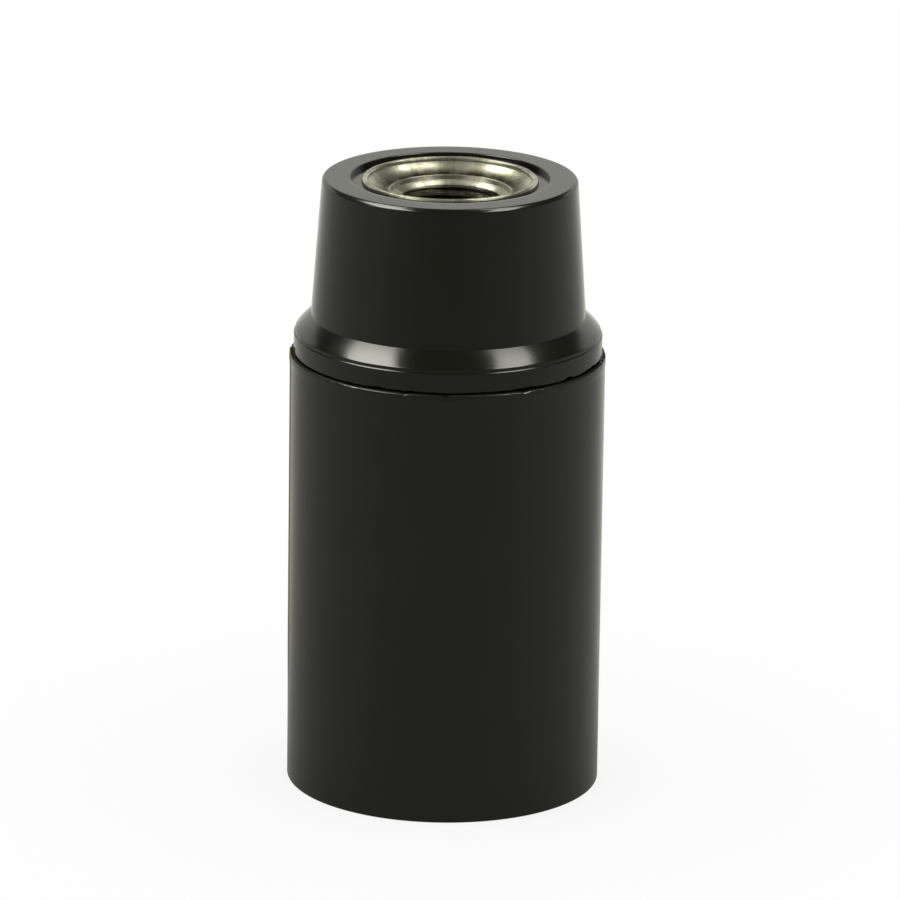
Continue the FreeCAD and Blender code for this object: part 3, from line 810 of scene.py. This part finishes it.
@dataclass
class Cap:
    """Upper moulding: spigot with its outer thread and two keyways, land, shoulder and neck."""

    spigot: float = 11.2
    joint_pitch: float = 2.0
    joint_depth: float = 0.38
    joint_lead_in: float = 0.2
    joint_run_out: float = 0.5
    spigot_low: float = 33.38
    keyway_top: float = 38.98
    keyway_half: float = 2.2
    keyway_columns: int = 9
    keyway_clear: float = 0.005
    chamber: float = 9.9
    seam: float = 39.5
    seam_edge: float = 0.08
    tooth: float = 0.14
    tooth_floor: float = 0.05
    worn_in: Span = (1.0, 0.1)
    worn_up: Span = (0.12, 0.3)
    land: float = 13.7
    land_top: float = 41.34
    land_edge: float = 0.09
    land_edge_foot: float = 0.14
    land_edge_turn: float = 58.0
    land_lip: Span = (0.045, 0.06)
    groove: Span = (0.01, 0.03)
    foot: float = 13.58
    foot_height: float = 41.56
    foot_round: Span = (0.02, 0.05)
    foot_sweep: float = 20.0
    shoulder_sweep: float = 18.0
    neck_foot: float = 12.2
    crease: float = 42.95
    shoulder_top: float = 43.2
    neck_head: float = 11.32
    neck_draft: float = 0.02
    neck_lean: float = 4.0
    top: float = 55.4
    top_edge: float = 0.36
    counterbore: float = 8.82
    counterbore_edge: float = 0.06
    counterbore_floor: float = 54.98
    swage: float = 7.83
    entry: float = 6.3
    swage_foot: float = 53.45
    flange_seat: float = 51.2
    flange_pocket: float = 8.1
    ceiling: float = 50.4
    neck_bore: float = 9.07
    rows: int = 60
    rows_across: int = 4
    columns: int = 256

    def build(self) -> Thing:
        """Turn the body all round, and the spigot between its two keyways.

        Returns:
            The cap's mesh object.
        """
        angle = self._angles()
        body = self._body_profile()
        teeth = np.clip(ragged(angle, seed=21, orders=(14, 96)) - self.tooth_floor, 0.0, 1.0)
        wear = self.tooth * teeth + seam_wear(angle)
        inward, outward = (self.land - reach for reach in self.worn_in)
        full, none = (self.seam + reach for reach in self.worn_up)
        under = smooth_step(body[:, 0], inward, outward)
        under = under * (1.0 - smooth_step(body[:, 1], full, none))
        surfaces = Patchwork()
        surfaces.add(turned(angle, body[:, 0], body[:, 1] + wear * under), (True, False))
        spigot = self._spigot_profile()
        joint = Thread(self.joint_pitch, self.joint_depth, self.spigot_low + self.joint_lead_in,
                       self.keyway_top, self.joint_run_out, ThreadForm.ROUND)
        outer = spigot[:, 0] == self.spigot
        roof = np.linspace(self.chamber, self.spigot, self.rows_across + 1)
        half = self._keyway_angle()
        for middle in KEYWAYS:
            start, end = middle + half, middle + math.pi - half
            walls = np.concatenate([angle[(angle >= start) & (angle <= end)],
                                    angle[angle <= end - TURN] + TURN])[:, None]
            radius = spigot[:, 0] + outer * joint.rise(walls, spigot[:, 1])
            surfaces.add(turned(walls, radius, spigot[:, 1]), (False, False))
            slot = np.linspace(middle - half, middle + half, self.keyway_columns)[:, None]
            surfaces.add(turned(slot, roof, np.float64(self.keyway_top)), (False, False))
            for side, flip in ((start, True), (end, False)):
                self._keyway_wall(surfaces, side, joint, flip)
        return surfaces.piece("cap_moulding")

    def _keyway_angle(self) -> float:
        """Half the angle that a keyway takes on the spigot's outside, in radians."""
        return math.asin(self.keyway_half / self.spigot)

    def _angles(self) -> Grid:
        """Angles of the columns, with one on each edge of each keyway and more across it."""
        half = self._keyway_angle()
        plain = np.arange(self.columns) / self.columns * TURN
        slots = []
        for middle in KEYWAYS:
            plain = plain[np.abs(plain - middle) > half + self.keyway_clear]
            slots.append(np.linspace(middle - half, middle + half, self.keyway_columns))
        return np.sort(np.concatenate([plain, *slots]))[:, None]

    def _body_profile(self) -> Grid:
        """Everything above the keyways, from the spigot's outside round to the chamber's wall."""
        top, edge, land, bottom, foot = self.top, self.top_edge, self.land, self.seam, self.foot
        above = (foot - self.foot_round[0], self.foot_height + self.foot_round[1])
        shoulder_end = (self.neck_foot, self.crease)
        head = self.neck_head + self.neck_draft
        sill, floor = self.counterbore + self.counterbore_edge, self.counterbore_floor
        return np.concatenate([
            path((self.spigot, self.keyway_top, 3), (self.spigot, bottom, 8),
                 (land - self.seam_edge, bottom, 0)),
            arc((land - self.seam_edge, bottom + self.seam_edge), self.seam_edge, -90.0, 0.0, 4),
            path((land, bottom + self.seam_edge, 8),
                 (land, self.land_top - self.land_edge_foot, 0)),
            arc((land - self.land_edge, self.land_top - self.land_edge_foot), self.land_edge, 0.0,
                self.land_edge_turn, 5),
            path((land - self.land_lip[0], self.land_top - self.land_lip[1], 2),
                 (foot + self.groove[0], self.land_top - self.groove[1], 3),
                 (foot, self.foot_height, 0)),
            bulged((foot, self.foot_height), above, self.foot_sweep, 3),
            bulged(above, shoulder_end, self.shoulder_sweep, 28),
            path((*shoulder_end, 30), (head, top - edge, 0)),
            arc((head - edge, top - edge), edge, self.neck_lean, 90.0, 10),
            path((self.neck_head - edge, top, 6), (sill, top, 0)),
            arc((sill, top - self.counterbore_edge), self.counterbore_edge, 90.0, 180.0, 4),
            path((self.counterbore, top - self.counterbore_edge, 3),
                 (self.counterbore, floor, 3), (self.swage, floor, 3),
                 (self.entry, self.swage_foot, 2), (self.entry, self.flange_seat, 2),
                 (self.flange_pocket, self.flange_seat, 2), (self.flange_pocket, self.ceiling, 2),
                 (self.neck_bore, self.ceiling, 3), (self.neck_bore, self.shoulder_top, 2),
                 (self.chamber, self.shoulder_top, 3), (self.chamber, self.keyway_top, 0)),
            np.array([[self.chamber, self.keyway_top]]),
        ])

    def _spigot_profile(self) -> Grid:
        """The spigot below the keyways' heads, from the chamber's wall down and up the outside."""
        low, high = self.spigot_low, self.keyway_top
        return np.concatenate([
            path((self.chamber, high, self.rows), (self.chamber, low, self.rows_across),
                 (self.spigot, low, self.rows), (self.spigot, high, 0)),
            np.array([[self.spigot, high]]),
        ])

    def _keyway_wall(self, surfaces: Patchwork, side: float, joint: Thread, flip: bool) -> None:
        """Close one side of a keyway between the spigot's inside and its threaded outside.

        Args:
            surfaces: the cap's surfaces.
            side: angle of the wall, in radians.
            joint: the spigot's thread.
            flip: turn the faces over.
        """
        height = np.linspace(self.spigot_low, self.keyway_top, self.rows + 1)
        outside = self.spigot + joint.rise(np.float64(side), height)
        share = np.linspace(0.0, 1.0, self.rows_across + 1)[:, None]
        radius = self.chamber + share * (outside - self.chamber)
        surfaces.add(turned(np.float64(side), radius, height), (False, False), flip)

    def dress(self, piece: Thing, finish: Finish) -> None:
        """Finish the cap, hide its construction solid and let it ride on its body."""
        coat(piece, finish)
        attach(piece, "cap")
        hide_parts("cap")


@dataclass
class EntryBush:
    """Plated steel bush: M10 x 1 thread, flange with two flats, and the end swaged to a bell."""

    crest: float = 4.46
    crest_reach: float = 0.1
    thread_depth: float = 0.54
    thread_pitch: float = 1.0
    thread_lead_in: float = 0.4
    thread_run_out: float = 0.5
    thread_past: float = 0.3
    tube: float = 6.2
    tube_edge: float = 0.2
    bore_edge: float = 0.3
    low: float = 47.6
    flange_low: float = 49.4
    flange_high: float = 51.2
    flange: float = 8.0
    flange_flat: float = 7.0
    swage_foot: float = 53.45
    bell: float = 7.8
    bell_side: float = 55.05
    bell_sweep: float = -24.0
    out_of_round: float = 0.025
    top: float = 55.4
    top_uneven: float = 0.02
    bead: float = 0.28
    bead_step: Span = (0.02, 0.1)
    ledge_outside: float = 5.62
    ledge: float = 54.2
    ridge: float = 0.13
    ridge_in: float = 0.2
    ridge_drop: float = 0.05
    step: Station = (5.16, 53.9)
    step_sweep: float = 16.0
    thread_start: float = 53.45
    columns: int = 256

    def build(self) -> Thing:
        """Turn the closed profile, its flange cut by two flats and its bell slightly uneven.

        Returns:
            The bush's mesh object.
        """
        angle = (np.arange(self.columns) / self.columns * TURN)[:, None]
        profile = self._profile()
        radius, height = np.broadcast_to(profile[:, 0], (self.columns, len(profile))), profile[:, 1]
        on_flange = (profile[:, 0] > self.tube) & (height <= self.flange_high)
        flats = self.flange_flat / np.maximum(np.abs(np.sin(angle)), TINY)
        radius = np.where(on_flange, np.minimum(radius, flats), radius)
        thread = Thread(self.thread_pitch, self.thread_depth, self.low - self.thread_lead_in,
                        self.thread_start + self.thread_past, self.thread_run_out,
                        ThreadForm.SHARP)
        in_bore = profile[:, 0] < self.crest + self.crest_reach
        radius = radius + in_bore * thread.rise(angle, height)
        near_rim = smooth_step(height, self.ledge, self.top) * (profile[:, 0] > self.tube)
        radius = radius + self.out_of_round * near_rim * ragged(angle, seed=31, orders=(2, 7))
        height = height + self.top_uneven * near_rim * ragged(angle, seed=32, orders=(2, 11))
        surfaces = Patchwork()
        surfaces.add(turned(angle, radius, height), (True, True))
        return surfaces.piece("entry_bush_turning")

    def _profile(self) -> Grid:
        """Closed profile: up the outside, over the bead, down the bell and the threaded bore."""
        low, tube, bore = self.low, self.tube, self.crest + self.bore_edge
        rim = (self.bell - self.bead, self.top - self.bead)
        inside = rim[0] - self.bead
        wall = (inside - self.bead_step[0], rim[1] - self.bead_step[1])
        ledge = (self.ledge_outside, self.ledge)
        ridge = (self.ledge_outside - self.ridge_in, self.ledge - self.ridge_drop)
        start = (self.crest, self.thread_start)
        return np.concatenate([
            path((bore, low, 3), (tube - self.tube_edge, low, 2), (tube, low + self.tube_edge, 2),
                 (tube, self.flange_low, 2), (self.flange, self.flange_low, 2),
                 (self.flange, self.flange_high, 0)),
            np.array([[self.flange, self.flange_high]]),
            path((tube, self.flange_high, 3), (tube, self.swage_foot, 8),
                 (self.bell, self.bell_side, 2), (self.bell, rim[1], 0)),
            arc(rim, self.bead, 0.0, 180.0, 20),
            path((inside, rim[1], 3), (*wall, 0)),
            bulged(wall, ledge, self.bell_sweep, 28),
            path((*ledge, 3), (ridge[0] + self.ridge, ridge[1], 0)),
            arc(ridge, self.ridge, 0.0, 180.0, 12),
            path((ridge[0] - self.ridge, ridge[1], 4), (*self.step, 0)),
            bulged(self.step, start, self.step_sweep, 12),
            path((*start, 90), (self.crest, low + self.bore_edge, 3), (bore, low, 0)),
        ])

    def dress(self, piece: Thing, finish: Finish) -> None:
        """Finish the bush, hide its construction solid and let it ride on its body."""
        coat(piece, finish)
        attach(piece, "cap")
        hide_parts("entry_bush")


@dataclass
class ContactInsert:
    """Steatite block with its contacts and terminals, which keep their construction solids."""

    steatite: tuple[str, ...] = ("insert_body",)
    bronze: tuple[str, ...] = ("centre_contact", "side_contact")
    brass: tuple[str, ...] = ("live_terminal", "live_rivet", "neutral_terminal", "neutral_rivet")
    steel: tuple[str, ...] = ("live_screw", "live_clamp", "neutral_screw", "neutral_clamp")

    def dress(self) -> None:
        """Give each solid the finish of its own stock."""
        finishes = (
            (self.steatite, FiredSteatite("fired_steatite")),
            (self.bronze, WorkedMetal("rolled_phosphor_bronze", "#b98d5c", "#6f5236",
                                      roughness=0.3)),
            (self.brass, WorkedMetal("stamped_brass", "#c9a862", "#85693a", roughness=0.32)),
            (self.steel, WorkedMetal("zinc_plated_steel", "#b9b8b0", "#77746b", roughness=0.34,
                                     drawn=(1.0, 1.0, 1.0))),
        )
        for names, finish in finishes:
            material = finish.material()
            for name in names:
                coat(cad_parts[name], material)
                LOG.info("finished %s as %s", name, finish.name)


# ---- studio ----------------------------------------------------------------------------------


@dataclass(frozen=True)
class SoftBox:
    """Rectangular studio lamp behind a cloth, hung so that its face looks at the object."""

    name: str
    centre: Place
    long_way: Place
    length: float
    width: float
    radiance: float
    cloth: str = "#fffff2"
    edge_fall: Span = (0.5, 0.38)
    edge_share: float = 0.1
    middle_rise: Span = (0.0, 0.3)
    middle_share: float = 0.55

    def hang(self, lit: bpy.types.Collection, reflection_only: bool = True) -> None:
        """Hang the lamp.

        Args:
            lit: the pieces that it lights.
            reflection_only: whether it shows only as a reflection.
        """
        lamp = bpy.data.lights.new(self.name, "AREA")
        lamp.use_nodes = True
        lamp.node_tree.nodes.clear()
        self._fall_off(lamp.node_tree)
        lamp.shape = "RECTANGLE"
        lamp.size, lamp.size_y = self.width, self.length
        lamp.energy = self.radiance * math.pi * self.length * self.width
        made = bpy.data.objects.new(self.name, lamp)
        bpy.context.scene.collection.objects.link(made)
        up = Vector(self.long_way).normalized()
        back = Vector(self.centre)
        back = (back - up * back.dot(up)).normalized()
        turn = Matrix((up.cross(back), up, back)).transposed().to_4x4()
        made.matrix_world = Matrix.Translation(self.centre) @ turn
        made.visible_camera = False
        made.visible_diffuse = not reflection_only
        made.light_linking.receiver_collection = lit

    def _fall_off(self, tree: Tree) -> None:
        """Let the cloth be dimmer along its long edges and halfway along its length.

        Args:
            tree: node tree of the lamp.
        """
        place = node(tree, "NewGeometry", out="Parametric")
        split = node(tree, "SeparateXYZ", {"Vector": place}).node.outputs
        across, along = (
            node(tree, "Math", {
                0: node(tree, "Math", {0: split[way], 1: 0.5}, operation="SUBTRACT")},
                operation="ABSOLUTE")
            for way in "XY")
        edge, middle = (
            node(tree, "MapRange", {
                "Value": way, "From Min": low, "From Max": high, "To Min": share},
                interpolation_type="SMOOTHSTEP")
            for way, (low, high), share in (
                (across, self.edge_fall, self.edge_share),
                (along, self.middle_rise, self.middle_share)))
        strength = node(tree, "Math", {0: edge, 1: middle}, operation="MULTIPLY")
        shine = node(tree, "Emission", {"Color": linear(self.cloth), "Strength": strength})
        node(tree, "OutputLight", {"Surface": shine})


# Two tall panels at the sides, two shorter lamps behind, and a broad dim one overhead. Each has
# its name, centre, long way, length, width and radiance.
PANELS = (
    SoftBox("panel_left", (-0.2785, 0.1615, 0.587), (0.0, 0.68, 0.73), 1.19, 0.25, 9.72),
    SoftBox("panel_right", (0.231, 0.1217, 0.624), (-0.08, 0.68, 0.73), 1.19, 0.18, 6.84),
)
BACK_LAMPS = (
    SoftBox("back_left", (-0.403, 0.414, 0.793), (-0.37, 0.73, -0.57), 0.36, 0.2, 6.4),
    SoftBox("back_right", (0.315, 0.281, 0.893), (0.665, 0.616, -0.426), 0.36, 0.18, 6.4),
)
OVERHEAD = SoftBox("overhead", (0.0, -0.1, 1.2), (0.0, 1.0, 0.1), 1.2, 1.6, 0.12)


@dataclass
class Studio:
    """White sweep, the light round it, and the camera."""

    floor_half: float = 3.0
    floor_gap: float = 0.00002
    floor_white: float = 0.8
    floor_level: float = 0.31
    floor_slope: Span = (0.12, 0.19)
    floor_reach: Span = (0.1, 0.3)
    floor_rise: float = 0.55
    floor_power: float = 6.0
    fill_radiance: float = 1.0
    warmth: str = "#fffff6"
    ambient: float = 1.0
    wall: float = 0.78
    wall_turn: Span = (0.5, 0.66)
    wall_height: Span = (0.47, 0.34)
    room: float = 0.05
    lens: float = 305.0
    sensor: float = 36.0
    distance: float = 0.680
    elevation: float = 16.65
    roll: float = 0.80
    aim: Place = (0.00031, 0.0, 0.0303)

    def build(self, mouldings: list[Thing], metals: list[Thing]) -> None:
        """Lay the floor, set the world, hang the lamps and place the camera.

        Args:
            mouldings: the glossy black pieces, which mirror the two tall panels.
            metals: the other pieces, which get dimmer panels, the back lamps and the overhead one.
        """
        self._floor()
        self._world()
        black = self._group("mouldings", mouldings)
        bright = self._group("fittings", metals)
        for panel in PANELS:
            panel.hang(black)
            name = panel.name.replace("panel", "fill")
            replace(panel, name=name, radiance=self.fill_radiance).hang(bright)
        for lamp in BACK_LAMPS:
            lamp.hang(bright)
        OVERHEAD.hang(bright, reflection_only=False)
        self._camera()

    @staticmethod
    def _group(name: str, things: list[Thing]) -> bpy.types.Collection:
        """Collect pieces for a lamp's light linking.

        Args:
            name: name of the collection.
            things: its pieces.

        Returns:
            The collection.
        """
        group = bpy.data.collections.new(name)
        for thing in things:
            group.objects.link(thing)
        return group

    @staticmethod
    def _seen(tree: Tree) -> tuple[Socket, Socket]:
        """Masks of the rays that see the background.

        Args:
            tree: node tree of the floor or the world.

        Returns:
            The mask of camera and transmission rays, and the mask of glossy rays.
        """
        ray = node(tree, "LightPath").node.outputs
        straight = node(tree, "Math", {
            0: ray["Is Camera Ray"], 1: ray["Is Transmission Ray"]},
            operation="MAXIMUM")
        return straight, ray["Is Glossy Ray"]

    @staticmethod
    def _backwards(tree: Tree, place: Socket) -> Socket:
        """Sine of how far a place or a direction is turned to the back of the studio.

        Args:
            tree: node tree of the floor or the world.
            place: position on the floor, or direction in the world.

        Returns:
            The socket with the sine, from -1 in front to 1 behind.
        """
        flat = node(tree, "VectorMath", {0: place, 1: (1.0, 1.0, 0.0)}, operation="MULTIPLY")
        way = node(tree, "VectorMath", {0: flat}, operation="NORMALIZE")
        return node(tree, "SeparateXYZ", {"Vector": way}, "Y")

    def _near_floor(self, tree: Tree, place: Socket) -> Socket:
        """Brightness of the floor in reflections, brighter behind than in front of the object.

        It is floor_level + slope s + floor_rise max(s, 0)^floor_power, where s is how far a
        point lies backwards and the slope grows with its distance.

        Args:
            tree: node tree of the floor.
            place: position on the floor.

        Returns:
            The socket with the brightness.
        """
        back = self._backwards(tree, place)
        steep = back
        for operation, value in (("MAXIMUM", 0.0), ("POWER", self.floor_power),
                                 ("MULTIPLY", self.floor_rise)):
            steep = node(tree, "Math", {0: steep, 1: value}, operation=operation)
        away = node(tree, "VectorMath", {0: place}, operation="LENGTH")
        slope = node(tree, "MapRange", {
            "Value": away, "From Min": self.floor_reach[0], "From Max": self.floor_reach[1],
            "To Min": self.floor_slope[0], "To Max": self.floor_slope[1]},
            interpolation_type="SMOOTHSTEP")
        slow = node(tree, "Math", {0: back, 1: slope, 2: self.floor_level},
                    operation="MULTIPLY_ADD")
        return node(tree, "Math", {0: slow, 1: steep}, operation="ADD")

    def _back_wall(self, tree: Tree, way: Socket) -> Socket:
        """Brightness of the room in reflections: a white wall behind, dim everywhere else.

        Args:
            tree: node tree of the world.
            way: direction from the object.

        Returns:
            The socket with the brightness.
        """
        height = node(tree, "SeparateXYZ", {"Vector": way}, "Z")
        behind, level = (
            node(tree, "MapRange", {"Value": value, "From Min": low, "From Max": high},
                 interpolation_type="SMOOTHSTEP")
            for value, (low, high) in (
                (self._backwards(tree, way), self.wall_turn), (height, self.wall_height)))
        wall = node(tree, "Math", {0: behind, 1: level}, operation="MULTIPLY")
        return node(tree, "MapRange", {"Value": wall, "To Min": self.room, "To Max": self.wall})

    def _floor(self) -> None:
        """Pale floor that keeps the object's shadow and shows white."""
        half, low = self.floor_half, -self.floor_gap
        mesh = bpy.data.meshes.new("floor")
        corners = [(-half, -half, low), (half, -half, low), (half, half, low), (-half, half, low)]
        mesh.from_pydata(corners, [], [(0, 1, 2, 3)])
        floor = bpy.data.objects.new("floor", mesh)
        bpy.context.scene.collection.objects.link(floor)
        material, tree = blank_material("white_sweep")
        straight, glossy = self._seen(tree)
        place = node(tree, "TexCoord", out="Object")
        seen = node(tree, "BsdfDiffuse", {"Color": linear(WHITE)})
        white = node(tree, "Emission", {"Strength": 1.0})
        mirrored = node(tree, "Emission", {
            "Color": linear(self.warmth), "Strength": self._near_floor(tree, place)})
        direct = node(tree, "Math", {0: straight, 1: self.floor_white}, operation="MULTIPLY")
        for share, shade in ((direct, white), (glossy, mirrored)):
            seen = node(tree, "MixShader", {0: share, 1: seen, 2: shade})
        node(tree, "OutputMaterial", {"Surface": seen})
        coat(floor, material)

    def _world(self) -> None:
        """White world behind the floor, with even light for the object."""
        world = bpy.data.worlds.new("studio")
        bpy.context.scene.world = world
        world.use_nodes = True
        tree = world.node_tree
        tree.nodes.clear()
        straight, glossy = self._seen(tree)
        place = node(tree, "TexCoord", out="Generated")
        seen, white, mirrored = (
            node(tree, "Background", {"Color": linear(shade), "Strength": strength})
            for shade, strength in ((WHITE, self.ambient), (WHITE, 1.0),
                                    (self.warmth, self._back_wall(tree, place))))
        for share, shade in ((straight, white), (glossy, mirrored)):
            seen = node(tree, "MixShader", {0: share, 1: seen, 2: shade})
        node(tree, "OutputWorld", {"Surface": seen})

    def _camera(self) -> None:
        """Long lens, looking a little down on the object."""
        camera = bpy.data.cameras.new("camera")
        camera.lens = self.lens
        camera.sensor_width = self.sensor
        made = bpy.data.objects.new("camera", camera)
        bpy.context.scene.collection.objects.link(made)
        tilt = Matrix.Rotation(math.radians(90.0 - self.elevation), 4, "X")
        back = tilt @ Vector((0.0, 0.0, self.distance))
        spin = Matrix.Rotation(math.radians(self.roll), 4, "Z")
        made.matrix_world = Matrix.Translation(Vector(self.aim) + back) @ tilt @ spin
        bpy.context.scene.camera = made


def main() -> None:
    """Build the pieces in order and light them."""
    logging.basicConfig(level=logging.INFO, format="%(message)s")
    bpy.context.scene.view_settings.view_transform = "Standard"
    phenolic = MouldedPhenolic("moulded_black_phenolic").material()
    plated = SwagedBushPlating("swaged_zinc_plated_steel", "#d6d5c4", "#787161",
                               roughness=0.3, stain_roughness=0.4, stain_share=0.8)
    skirt, cap, bush = Skirt(), Cap(), EntryBush()
    mouldings: list[Thing] = []
    metals: list[Thing] = []
    for part, finish, group in ((skirt, phenolic, mouldings), (cap, phenolic, mouldings),
                                (bush, plated.material(), metals)):
        piece = part.build()
        part.dress(piece, finish)
        group.append(piece)
        LOG.info("built %s with %d faces", piece.name, len(piece.data.polygons))
    ContactInsert().dress()
    hidden = {"skirt", "cap", "entry_bush"}
    metals += [thing for name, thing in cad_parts.items() if name not in hidden]
    Studio().build(mouldings, metals)


if __name__ == "__main__":
    main()
